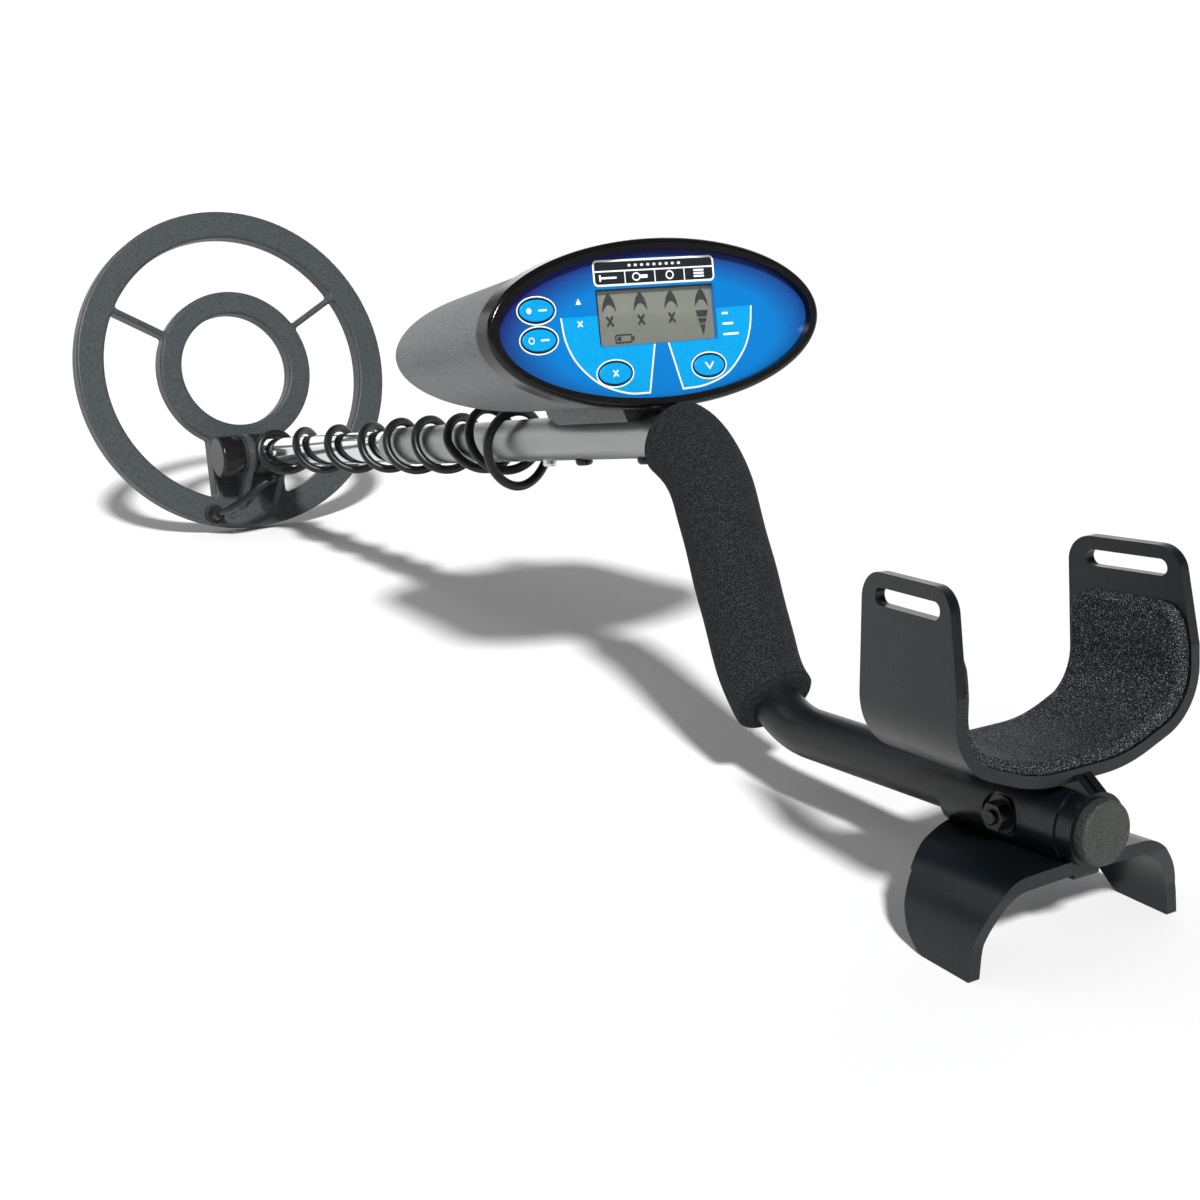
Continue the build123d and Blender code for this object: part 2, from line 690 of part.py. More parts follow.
# ---------------------------------------------------------------- saddle between tube and housing
with BuildPart() as saddle:
    with BuildSketch(beside(STEM)):
        with BuildLine():
            Polyline((384, 14), (386, 10), (394, 6.6), (450.4, 6.2), (445.5, 14), close=True)
        make_face()
    extrude(amount=13.2, both=True)
    add(body_form(0.02, 0.0, BEZEL_S, 9.0), mode=Mode.SUBTRACT)
    with BuildSketch(across(STEM, 370)):
        Circle(UPPER_R + 0.02)
    extrude(amount=90, mode=Mode.SUBTRACT)
    with BuildSketch(above(STEM, 0)):
        with Locations((SCREW_S[0], 0), (SCREW_S[1], 0)):
            Circle(2.1)
    extrude(amount=20, mode=Mode.SUBTRACT)
save(saddle, "saddle")

for label, station in (("mount_screw_front", SCREW_S[0]), ("mount_screw_rear", SCREW_S[1])):
    with BuildPart() as screw:
        with BuildSketch(above(STEM, -UPPER_R + 0.25, station)):
            Circle(3.9)
        extrude(amount=-2.7)
        fillet(screw.faces().sort_by(Axis(PIVOT, STEM.z_dir))[0].edges(), 1.9)
        with BuildSketch(across(STEM, station - 6)):
            Circle(UPPER_R)
        extrude(amount=12, mode=Mode.SUBTRACT)
        with BuildSketch(above(STEM, -UPPER_R - 1.0, station)):
            Circle(2.0)
        extrude(amount=UPPER_R + 1.0 + 20.5)
        with BuildSketch(above(STEM, -UPPER_R - 2.45, station)):
            Rectangle(4.4, 0.9)
            Rectangle(0.9, 4.4)
        extrude(amount=1.2, mode=Mode.SUBTRACT)
    save(screw, label)

# ---------------------------------------------------------------- arm rest with stand
with BuildPart() as arm_rest:
    with BuildSketch(across(REAR, REST_START)):
        Circle(SLEEVE_R)
    extrude(amount=REST_END - REST_START)
    with BuildSketch(across(REAR, REST_END)):
        Circle(SLEEVE_R - 0.6)
    extrude(amount=SLEEVE_END - REST_END)
    with BuildSketch(beside(REAR, 3.7)):
        Polygon((REST_START, 8), (SLEEVE_END, 8), (SLEEVE_END, 12), (REST_END, 17), (WING_START, 17),
                align=None)
    extrude(amount=3.1)
    mirror(about=Plane.XZ)
    for station in (WING_START, REST_END):
        with BuildSketch(across(REAR, station)):
            with BuildLine():
                FilletPolyline(*flared(CRADLE, station), radius=CRADLE_RADII)
                offset(amount=CRADLE_T, side=Side.LEFT)
            make_face()
    loft()
    with BuildSketch(beside(REAR)):
        Polygon((REST_END, 50), (REST_END + 4, 50), (REST_END + 4, 90), (REST_END - 6.6, 90), align=None)
    extrude(amount=70, both=True, mode=Mode.SUBTRACT)
    corners = arm_rest.edges().filter_by(
        lambda edge: abs(edge.length - CRADLE_T) < 0.4 and REAR.to_local_coords(edge.center()).Z > 80
    )
    fillet(corners, 9.0)
    with BuildSketch(beside(REAR)):
        with Locations(((REST_START + REST_END) / 2 + 0.5, 74.5)):
            SlotOverall(32, 5.6)
    extrude(amount=70, both=True, mode=Mode.SUBTRACT)
    with BuildPart() as legs:
        with BuildSketch(across(REAR, REST_START)):
            for flip in (1, -1):
                with BuildLine():
                    FilletPolyline((6 * flip, -12.2), (32 * flip, -12.8), (43.3 * flip, -26.5),
                                   (45.8 * flip, -52), radius=(14.0, 26.0))
                    offset(amount=2.3)
                make_face()
            with Locations((0, -10)):
                Rectangle(11, 12.4)
        extrude(amount=SLEEVE_END - 4 - REST_START)
        with BuildSketch(beside(REAR)):
            with BuildLine():
                Polyline((REST_START, 0), (160.5, 0), (160.5, -15), (157, -30), (156.4, -60), (140, -60),
                         (140, -41), (133.5, -38), (128.6, -33), (125, -26), (121.6, -16.5),
                         (REST_START, -16.5), close=True)
            make_face()
            fillet([vertex for vertex in vertices() if -50 < vertex.Y < -14 and vertex.X > 122], 6.0)
        extrude(amount=60, both=True, mode=Mode.INTERSECT)
        with BuildSketch(above(REAR, -60)):
            with BuildLine():
                Spline((REST_START, 9), (112.7, 22), (119.3, 34.5), (121.6, 39.5))
                Polyline((121.6, 39.5), (121.6, 60), (170, 60), (170, 0), (REST_START, 0), (REST_START, 9))
            make_face()
            mirror(about=Plane.XZ)
        extrude(amount=60, mode=Mode.INTERSECT)
        split(bisect_by=Plane.XY, keep=Keep.TOP)
    with BuildSketch(across(REAR, REST_START - 1)):
        Circle(REAR_R + 0.04)
    extrude(amount=SLEEVE_END - REST_START + 4, mode=Mode.SUBTRACT)
    with BuildSketch(beside(REAR)):
        with Locations((STAND_BOLT_S, 0)):
            Circle(2.55)
    extrude(amount=20, both=True, mode=Mode.SUBTRACT)
    for seat in (-RECESS_Y - 6, RECESS_Y):
        with BuildSketch(beside(REAR, seat + 6)):
            with Locations((STAND_BOLT_S, 0)):
                Circle(7.6)
        extrude(amount=6, mode=Mode.SUBTRACT)
save(arm_rest, "arm_rest")

with BuildPart() as arm_pad:
    lean = (CRADLE[0][0] - CRADLE[1][0]) / (CRADLE[0][1] - CRADLE[1][1])
    top_y = CRADLE[1][0] + lean * (PAD_TOP - CRADLE[1][1])
    line = [(top_y, PAD_TOP), *CRADLE[1:5], (-top_y, PAD_TOP)]
    for station in (WING_START + 2.0, REST_END - 1.0):
        with BuildSketch(across(REAR, station)):
            with BuildLine():
                FilletPolyline(
                    *inset(flared(line, station), CRADLE_T),
                    radius=[radius - CRADLE_T for radius in CRADLE_RADII],
                )
                offset(amount=PAD_T, side=Side.LEFT)
            make_face()
    loft()
    with BuildSketch(beside(REAR)):
        Polygon((REST_END - 1.0, 50), (REST_END + 1, 50), (REST_END + 1, 90), (REST_END - 7.6, 90),
                align=None)
    extrude(amount=70, both=True, mode=Mode.SUBTRACT)
    corners = arm_pad.edges().filter_by(
        lambda edge: abs(edge.length - PAD_T) < 0.3 and REAR.to_local_coords(edge.center()).Z > 62
    )
    fillet(corners, 7.0)
save(arm_pad, "arm_pad")

with BuildPart() as end_cap:
    with BuildSketch(across(REAR, SLEEVE_END)):
        Circle(10.5)
    extrude(amount=4.0)
    fillet(end_cap.faces().sort_by(Axis(BEND_2, REAR.x_dir))[-1].edges(), 0.8)
    with BuildSketch(across(REAR, SLEEVE_END)):
        Circle(REAR_BORE - 0.03)
    extrude(amount=-14.0)
save(end_cap, "end_cap")

with BuildPart() as stand_bolt:
    with BuildSketch(beside(REAR, RECESS_Y + 3.2)):
        with Locations((STAND_BOLT_S, 0)):
            Circle(4.6)
    extrude(amount=3.2)
    fillet(stand_bolt.faces().sort_by(Axis.Y)[-1].edges(), 1.4)
    with BuildSketch(beside(REAR, RECESS_Y)):
        with Locations((STAND_BOLT_S, 0)):
            Circle(2.5)
    extrude(amount=RECESS_Y + 17.4)
    chamfer(stand_bolt.faces().sort_by(Axis.Y)[0].edges(), 0.4)
save(stand_bolt, "stand_bolt")

with BuildPart() as stand_washer:
    with BuildSketch(beside(REAR, -RECESS_Y)):
        with Locations((STAND_BOLT_S, 0)):
            Circle(6.4)
            Circle(2.55, mode=Mode.SUBTRACT)
    extrude(amount=1.0)
save(stand_washer, "stand_washer")

with BuildPart() as stand_nut:
    with BuildSketch(beside(REAR, -RECESS_Y - 1.0)):
        with Locations((STAND_BOLT_S, 0)):
            RegularPolygon(4.9, 6)
            Circle(2.52, mode=Mode.SUBTRACT)
    extrude(amount=4.2)
save(stand_nut, "stand_nut")


# ---------------------------------------------------------------- coil cable
def wrap_point(turn, station, reach):
    """Point of a wrap: turn 0 is above the tube, 0.25 the near side, 0.5 below, 0.75 the far side."""
    return (station, -reach * sind(360 * turn), reach * cosd(360 * turn))


def wrap_station(turn):
    knots = (0.0, 24.5, 88.2, 134.4, 180.5, 214.4, 248.8, 285.0, 309.0)
    place = turn - 0.25 + 1
    index = min(int(place), len(knots) - 2)
    return knots[index] + (knots[index + 1] - knots[index]) * (place - index)


def fillet_radii(points):
    """Largest even arc at each corner of a route: 0.45 of the shorter run over tan of half the turn."""
    radii = []
    for before, corner, after in zip(points[:-2], points[1:-1], points[2:]):
        first = corner - before
        second = after - corner
        half = math.radians(first.get_angle(second) / 2)
        radii.append(0.45 * min(first.length, second.length) / math.tan(half))
    return radii


def cable(route):
    points = [STEM.from_local_coords(spot) for spot in route]
    radii = fillet_radii(points)
    print("cable radii", min(radii), max(radii))
    with BuildPart() as tube:
        with BuildLine() as line:
            FilletPolyline(*points, radius=radii)
        with BuildSketch(Plane(origin=points[0], z_dir=points[1] - points[0])):
            Circle(CABLE_D / 2)
        sweep()
    print("cable length", line.wires()[0].length, "volume ratio",
          tube.part.volume / (line.wires()[0].length * math.pi * CABLE_D ** 2 / 4))
    return tube


gland_exit = STEM.to_local_coords(COIL.from_local_coords((-30, -91, 7.0)))
gland_lead = STEM.to_local_coords(COIL.from_local_coords((-30, -91, 20.0)))
TAIL = [
    (gland_exit.X, gland_exit.Y, gland_exit.Z),
    (gland_lead.X, gland_lead.Y, gland_lead.Z),
    (13.0, -18.5, -27.0),
    (17.5, -9.0, -19.0),
]
WRAPS = [
    (20.5, 3.0, -14.5),
    (21.5, 11.5, -7.0),
    (22.0, 12.6, 2.5),
    (23.0, 7.5, 10.4),
    (24.5, -1.5, 12.6),
    (25.5, -9.5, 8.6),
    (26.5, -12.7, 0.5),
]
for step in range(1, 61):
    turn = 0.25 + step / 10
    station = wrap_station(turn) + 1.5
    reach = 12.6 if station < UPPER_START + 8 else 13.6
    WRAPS.append(wrap_point(turn, station, reach))
WRAPS += [
    (296.0, -8.5, -11.0),
    (301.0, 2.0, -13.9),
    (304.0, 11.5, -8.5),
    (305.0, 14.6, 2.0),
    (306.0, 8.0, 13.5),
    (307.5, -3.0, 17.0),
    (310.0, -12.5, 11.5),
    (312.5, -15.3, 0.5),
    (318.0, -11.5, -10.5),
    (323.0, -0.5, -14.8),
    (326.5, 10.5, -10.5),
    (330.0, 14.8, -0.5),
    (334.0, 10.0, 10.5),
    (337.0, 0.0, 14.6),
    (336.5, -10.5, 12.0),
    (333.5, -16.5, 2.5),
    (331.5, -16.0, -8.5),
    (330.0, -9.5, -18.0),
    (329.3, 0.0, -22.3),
    (328.0, 10.0, -19.5),
    (327.0, 17.5, -12.0),
    (326.5, 22.0, -2.0),
    (324.5, 25.5, 8.0),
    (317.0, 29.0, 14.5),
    (306.5, 32.0, 16.5),
    (299.0, 34.5, 23.0),
    (298.5, 36.5, 33.5),
    (305.5, SOCKET_Y, FAR_H),
    (FAR_S - 26.1, SOCKET_Y, FAR_H),
]
# the two routes share one straight run under the tube, where the lead is tied to the stem
tie = tuple((tail + wrap) / 2 for tail, wrap in zip(TAIL[-1], WRAPS[0]))
TAIL.append(tie)
WRAPS.insert(0, tie)

save(cable(TAIL), "cable_tail")
save(cable(WRAPS), "cable_wraps")
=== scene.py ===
import json
import math

import bpy
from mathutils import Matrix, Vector


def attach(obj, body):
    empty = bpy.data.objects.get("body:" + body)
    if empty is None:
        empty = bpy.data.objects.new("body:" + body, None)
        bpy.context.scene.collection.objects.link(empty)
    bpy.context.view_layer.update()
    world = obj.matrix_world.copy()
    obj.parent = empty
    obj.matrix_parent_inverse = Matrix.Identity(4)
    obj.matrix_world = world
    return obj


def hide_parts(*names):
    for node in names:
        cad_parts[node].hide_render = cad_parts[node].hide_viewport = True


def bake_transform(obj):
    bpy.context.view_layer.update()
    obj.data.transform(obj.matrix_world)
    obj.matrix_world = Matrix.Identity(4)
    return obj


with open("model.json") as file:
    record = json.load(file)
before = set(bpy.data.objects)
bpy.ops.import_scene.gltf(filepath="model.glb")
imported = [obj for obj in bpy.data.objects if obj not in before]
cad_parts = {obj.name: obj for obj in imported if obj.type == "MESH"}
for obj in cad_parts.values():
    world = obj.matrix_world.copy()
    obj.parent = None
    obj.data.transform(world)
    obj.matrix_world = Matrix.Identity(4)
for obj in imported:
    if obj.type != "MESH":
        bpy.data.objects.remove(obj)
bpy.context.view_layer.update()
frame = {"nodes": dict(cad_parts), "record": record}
record = frame["record"]
joints = {joint["name"]: joint for joint in record["behaviour"]["joints"]}
MM = 0.001

# ------------------------------------------------------------ sizes shared with the CAD model (mm)
UPPER_START = 197.6
CORNER_1 = 480.5
MID_SLOPE = -63.4
MID_LENGTH = 117.9
REAR_SLOPE = 4.3
BEND_R = 38.0
GRIP_R = 16.5
GRIP_START_ANGLE = 20.0
GRIP_END_ANGLE = 31.0
FACE_S = 461.6
FACE_H = 44.6
FACE_A = 80.2
FACE_B = 34.1
FAR_S = 355.0
FAR_H = 41.4
SOCKET_Y = 38.0
PANEL_S = FACE_S - 4.0
WING_START = 110.0
REST_END = 158.0
CRADLE = ((-49.7, 82.0), (-52.0, 27.5), (-20.0, 15.0), (20.0, 15.0), (52.0, 27.5), (49.7, 82.0))
CRADLE_RADII = (22.0, 60.0, 60.0, 22.0)
CRADLE_FLARE = 5.0
CRADLE_T = 4.0
PAD_T = 3.6
PAD_TOP = 64.0
CABLE_D = 4.4

# ------------------------------------------------------------ softness of the foam parts (mm)
GRIP_LIP = 2.4
PAD_CORNER = 8.0
PAD_CROWN = 3.0
PAD_REAR_LEAN = 0.165

# ------------------------------------------------------------ frames along the two straight runs
PIVOT = Vector(joints["coil_tilt"]["pos_m"])
ALONG = -Vector(joints["stem_slide"]["axis"])
ABOVE = Vector((-ALONG.z, 0, ALONG.x))
STEM_SLOPE = math.degrees(math.atan2(ALONG.z, ALONG.x))


def stem(s, y, h):
    """Point in metres from millimetres along the stem, across it and above it."""
    return PIVOT + (ALONG * s + Vector((0, y, 0)) + ABOVE * h) * MM


def heading(slope):
    return Vector((math.cos(math.radians(slope)), 0, math.sin(math.radians(slope))))


REAR_ALONG = heading(REAR_SLOPE)
REAR_ABOVE = heading(REAR_SLOPE + 90)
REAR_ORIGIN = stem(CORNER_1, 0, 0) + heading(MID_SLOPE) * MID_LENGTH * MM


def rear(s, y, h):
    return REAR_ORIGIN + (REAR_ALONG * s + Vector((0, y, 0)) + REAR_ABOVE * h) * MM


def face(y, up, lift):
    """Point of the front panel: across, up, and proud of its surface."""
    return stem(PANEL_S + 2.0 + lift, y, FACE_H + up)


# ------------------------------------------------------------ camera
CAMERA_AT = Vector((0.7237, -0.3994, 0.2538))
CAMERA_AZIMUTH = 57.75
CAMERA_DOWN = 15.37

camera_data = bpy.data.cameras.new("camera")
camera_data.lens = 52.3
camera_data.sensor_width = 36.0
camera_data.clip_start = 0.01
camera = bpy.data.objects.new("camera", camera_data)
camera.location = CAMERA_AT
camera.rotation_euler = (math.radians(90 - CAMERA_DOWN), 0, math.radians(CAMERA_AZIMUTH))
bpy.context.collection.objects.link(camera)
bpy.context.scene.camera = camera


# ------------------------------------------------------------ mesh helpers
def mesh_object(name, points, faces, material, smooth=True):
    mesh = bpy.data.meshes.new(name)
    mesh.from_pydata([tuple(point) for point in points], [], faces)
    mesh.validate()
    mesh.materials.append(material)
    mesh.polygons.foreach_set("use_smooth", [smooth] * len(mesh.polygons))
    piece = bpy.data.objects.new(name, mesh)
    bpy.context.collection.objects.link(piece)
    return piece


def swept(name, path, radius_at, material, sides=20):
    """Round tube along close points, with a radius for each point and closed ends."""
    points = []
    faces = []
    side = Vector((0, 1, 0))
    for index, spot in enumerate(path):
        ahead = path[min(index + 1, len(path) - 1)] - path[max(index - 1, 0)]
        ahead.normalize()
        side = (side - ahead * side.dot(ahead)).normalized()
        top = ahead.cross(side)
        for step in range(sides):
            angle = 2 * math.pi * step / sides
            points.append(spot + (side * math.cos(angle) + top * math.sin(angle)) * radius_at(index))
    for index in range(len(path) - 1):
        for step in range(sides):
            here = index * sides + step
            beside = index * sides + (step + 1) % sides
            faces.append((here, beside, beside + sides, here + sides))
    faces.append(tuple(reversed(range(sides))))
    faces.append(tuple(range(len(points) - sides, len(points))))
    return mesh_object(name, points, faces, material)


# ------------------------------------------------------------ materials
def new_material(name, color, roughness, metallic=0.0):
    material = bpy.data.materials.new(name)
    material.use_nodes = True
    shader = material.node_tree.nodes["Principled BSDF"]
    shader.inputs["Base Color"].default_value = (*color, 1)
    shader.inputs["Roughness"].default_value = roughness
    shader.inputs["Metallic"].default_value = metallic
    return material, material.node_tree, shader


def noise(tree, scale, detail=2.0, stretch=(1, 1, 1)):
    """Noise in the object's own metres, so its grain has a real size."""
    place = tree.nodes.new("ShaderNodeTexCoord")
    mapping = tree.nodes.new("ShaderNodeMapping")
    mapping.inputs["Scale"].default_value = stretch
    texture = tree.nodes.new("ShaderNodeTexNoise")
    texture.inputs["Scale"].default_value = scale
    texture.inputs["Detail"].default_value = detail
    tree.links.new(place.outputs["Object"], mapping.inputs["Vector"])
    tree.links.new(mapping.outputs["Vector"], texture.inputs["Vector"])
    return texture.outputs["Fac"]


def ramp(tree, source, low, high, dark, light):
    node = tree.nodes.new("ShaderNodeValToRGB")
    node.color_ramp.elements[0].position = low
    node.color_ramp.elements[0].color = (*dark, 1)
    node.color_ramp.elements[1].position = high
    node.color_ramp.elements[1].color = (*light, 1)
    tree.links.new(source, node.inputs["Fac"])
    return node.outputs["Color"]


def roughen(tree, shader, source, low, high):
    node = tree.nodes.new("ShaderNodeMapRange")
    node.inputs["To Min"].default_value = low
    node.inputs["To Max"].default_value = high
    tree.links.new(source, node.inputs["Value"])
    tree.links.new(node.outputs["Result"], shader.inputs["Roughness"])


def bump(tree, shader, source, strength, distance):
    node = tree.nodes.new("ShaderNodeBump")
    node.inputs["Strength"].default_value = strength
    node.inputs["Distance"].default_value = distance
    tree.links.new(source, node.inputs["Height"])
    tree.links.new(node.outputs["Normal"], shader.inputs["Normal"])


def moulded(name, color, roughness, grain_scale, grain_depth, speckle=0.0):
    """Moulded plastic: fine grain, faint colour speckle and patchy sheen."""
    material, tree, shader = new_material(name, color, roughness)
    shader.inputs["Specular IOR Level"].default_value = 0.35
    grain = noise(tree, grain_scale, 3.0)
    dark = [channel * (1 - speckle) for channel in color]
    light = [channel * (1 + 1.6 * speckle) for channel in color]
    tree.links.new(ramp(tree, grain, 0.36, 0.66, dark, light), shader.inputs["Base Color"])
    roughen(tree, shader, noise(tree, 60), roughness - 0.06, roughness + 0.08)
    bump(tree, shader, grain, 0.5, grain_depth)
    return material


def metal(name, color, roughness, stretch):
    """Drawn tube: long faint streaks along its length."""
    material, tree, shader = new_material(name, color, roughness, 1.0)
    streaks = noise(tree, 300, 3.0, stretch)
    roughen(tree, shader, streaks, roughness * 0.7, roughness * 1.4)
    bump(tree, shader, streaks, 0.05, 0.00005)
    return material


def foam_material():
    material, tree, shader = new_material("foam_black", (0.006, 0.006, 0.007), 0.9)
    shader.inputs["Specular IOR Level"].default_value = 0.2
    cells = noise(tree, 1900, 2.0)
    color = ramp(tree, cells, 0.45, 0.72, (0.0035, 0.0042, 0.0050), (0.044, 0.050, 0.058))
    tree.links.new(color, shader.inputs["Base Color"])
    bump(tree, shader, cells, 0.8, 0.0005)
    return material


def pad_material():
    material, tree, shader = new_material("pad_speckled", (0.01, 0.01, 0.011), 0.7)
    specks = noise(tree, 3000, 1.0)
    color = ramp(tree, specks, 0.60, 0.68, (0.0025, 0.0035, 0.005), (0.24, 0.26, 0.29))
    tree.links.new(color, shader.inputs["Base Color"])
    shader.inputs["Specular IOR Level"].default_value = 0.2
    roughen(tree, shader, noise(tree, 1500, 1.0), 0.95, 0.45)
    bump(tree, shader, noise(tree, 1500, 2.0), 0.7, 0.0005)
    return material


def panel_material_painted_rim_shade():
    """Printed film: blue in the middle, with painted shade that darkens it to violet towards the rim, under
    the bezel.
    """
    material, tree, shader = new_material("panel_blue_painted_rim_shade", (0.02, 0.16, 0.5), 0.28)
    place = tree.nodes.new("ShaderNodeTexCoord")
    mapping = tree.nodes.new("ShaderNodeMapping")
    mapping.vector_type = "TEXTURE"
    mapping.inputs["Location"].default_value = stem(PANEL_S, 4, FACE_H - 5)
    mapping.inputs["Rotation"].default_value = (0, -math.radians(STEM_SLOPE), 0)
    mapping.inputs["Scale"].default_value = (1.0, FACE_A * MM, FACE_B * MM)
    tree.links.new(place.outputs["Object"], mapping.inputs["Vector"])
    distance = tree.nodes.new("ShaderNodeVectorMath")
    distance.operation = "LENGTH"
    tree.links.new(mapping.outputs["Vector"], distance.inputs[0])
    # painted shade: the blue print turns dark violet away from the panel's middle, towards the rim under the
    # bezel
    color = ramp(tree, distance.outputs["Value"], 0.68, 1.12, (0.0, 0.155, 0.47), (0.010, 0.010, 0.12))
    tree.links.new(color, shader.inputs["Base Color"])
    bump(tree, shader, noise(tree, 700, 1.0), 0.15, 0.0001)
    shader.inputs["Specular IOR Level"].default_value = 0.25
    return material


def print_material(name, color, roughness=0.35):
    material, tree, shader = new_material(name, color, roughness)
    shader.inputs["Specular IOR Level"].default_value = 0.25
    dark = [channel * 0.86 for channel in color]
    tree.links.new(ramp(tree, noise(tree, 900, 1.0), 0.3, 0.7, dark, color), shader.inputs["Base Color"])
    return material


def window_material():
    material, tree, shader = new_material("window_clear", (0.75, 0.78, 0.76), 0.08)
    shader.inputs["Alpha"].default_value = 0.04
    roughen(tree, shader, noise(tree, 40), 0.05, 0.12)
    return material


def cap_material():
    material, tree, shader = new_material("cap_rubber", (0.03, 0.035, 0.032), 0.6)
    dots = noise(tree, 1400, 1.0)
    color = ramp(tree, dots, 0.35, 0.7, (0.012, 0.0155, 0.0135), (0.036, 0.045, 0.038))
    tree.links.new(color, shader.inputs["Base Color"])
    bump(tree, shader, dots, 0.9, 0.0006)
    return material


COIL_PLASTIC = moulded("coil_speckled", (0.034, 0.040, 0.043), 0.45, 1500, 0.0003, 0.5)
HOUSING_GREY = moulded("housing_speckled", (0.114, 0.123, 0.126), 0.45, 1500, 0.0003, 0.32)
SATIN_BLACK = moulded("black_satin", (0.0022, 0.0036, 0.0050), 0.3, 900, 0.0001, 0.2)
MATT_BLACK = moulded("black_matt", (0.007, 0.007, 0.0075), 0.5, 1200, 0.0002, 0.3)
KNOB_BLACK = moulded("knob_black", (0.005, 0.005, 0.0055), 0.28, 900, 0.0001, 0.2)
BEZEL_BLACK = moulded("bezel_gloss", (0.003, 0.003, 0.0035), 0.14, 500, 0.00002, 0.1)
CABLE_BLACK = moulded("cable_jacket", (0.006, 0.0065, 0.007), 0.34, 700, 0.0001, 0.2)
RUBBER = moulded("washer_rubber", (0.018, 0.018, 0.018), 0.7, 1200, 0.0002, 0.3)
BOARD_GREEN = moulded("board_green", (0.02, 0.12, 0.05), 0.4, 900, 0.0001, 0.3)
COPPER = metal("winding_copper", (0.75, 0.34, 0.16), 0.35, (1, 1, 8))
CHROME = metal("chrome_plate", (0.66, 0.67, 0.68), 0.08, (0.05, 1, 1))
SILVER = metal("silver_satin", (0.30, 0.31, 0.31), 0.32, (0.05, 1, 1))
STEEL = metal("steel_plated", (0.62, 0.62, 0.61), 0.22, (1, 1, 1))
BLACK_TUBE = moulded("powder_black", (0.0058, 0.0066, 0.0076), 0.36, 1400, 0.00012, 0.25)
FOAM = foam_material()
PAD = pad_material()
PANEL = panel_material_painted_rim_shade()
WINDOW = window_material()
CAP = cap_material()
DISPLAY = print_material("display_grey", (0.30, 0.31, 0.26), 0.5)
PRINT_WHITE = print_material("print_white", (0.86, 0.90, 0.92))
PRINT_BLACK = print_material("print_black", (0.012, 0.014, 0.018))
PRINT_CYAN = print_material("print_cyan", (0.0, 0.30, 0.64), 0.3)
DISPLAY_INK = print_material("display_ink", (0.006, 0.007, 0.007), 0.6)

NODE_MATERIALS = {
    "coil_shell": COIL_PLASTIC,
    "coil_cover": COIL_PLASTIC,
    "coil_screw": COIL_PLASTIC,
    "transmit_winding": COPPER,
    "receive_winding": COPPER,
    "coil_gland": MATT_BLACK,
    "clevis_bolt": MATT_BLACK,
    "clamp_knob": KNOB_BLACK,
    "knob_washer": RUBBER,
    "friction_washer_near": RUBBER,
    "friction_washer_far": RUBBER,
    "stem_tip": MATT_BLACK,
    "stem_pin": STEEL,
    "lower_tube": CHROME,
    "spring_button": STEEL,
    "spring_leaf": STEEL,
    "upper_tube": SILVER,
    "rear_tube": BLACK_TUBE,
    "housing_shell": HOUSING_GREY,
    "saddle": HOUSING_GREY,
    "battery_door": HOUSING_GREY,
    "bezel": BEZEL_BLACK,
    "face_panel": PANEL,
    "display_window": WINDOW,
    "display_module": DISPLAY,
    "circuit_board": BOARD_GREEN,
    "battery_box": MATT_BLACK,
    "battery_near": SATIN_BLACK,
    "battery_far": SATIN_BLACK,
    "speaker": MATT_BLACK,
    "coil_socket": STEEL,
    "coil_plug": MATT_BLACK,
    "headphone_jack": MATT_BLACK,
    "mount_screw_front": BEZEL_BLACK,
    "mount_screw_rear": BEZEL_BLACK,
    "key_on": PRINT_CYAN,
    "key_off": PRINT_CYAN,
    "key_reject": PRINT_CYAN,
    "key_depth": PRINT_CYAN,
    "arm_rest": SATIN_BLACK,
    "end_cap": CAP,
    "stand_bolt": KNOB_BLACK,
    "stand_washer": KNOB_BLACK,
    "stand_nut": KNOB_BLACK,
}
for node, material in NODE_MATERIALS.items():
    mesh = frame["nodes"][node].data
    mesh.materials.clear()
    mesh.materials.append(material)


# ------------------------------------------------------------ coil cable
def wrap_point(turn, station, reach):
    """Point of a wrap: turn 0 is above the tube, 0.25 the near side, 0.5 below, 0.75 the far side."""
    angle = 2 * math.pi * turn
    return (station, -reach * math.sin(angle), reach * math.cos(angle))


def wrap_station(turn):
    knots = (0.0, 24.5, 88.2, 134.4, 180.5, 214.4, 248.8, 285.0, 309.0)
    place = turn - 0.25 + 1
    index = min(int(place), len(knots) - 2)
    return knots[index] + (knots[index + 1] - knots[index]) * (place - index)


def coil_local(x, y, z):
    """Point of the search coil, in stem millimetres, from its own across, toe and out-of-face axes."""
    drop, rise, tilt = 57.0, 20.6, math.radians(16.4)
    out = Vector((math.cos(tilt), 0, math.sin(tilt)))
    toe = Vector((-math.sin(tilt), 0, math.cos(tilt)))
    arm = toe * (y + drop) + out * (z - rise)
    return (arm.dot(ALONG), x, arm.dot(ABOVE))


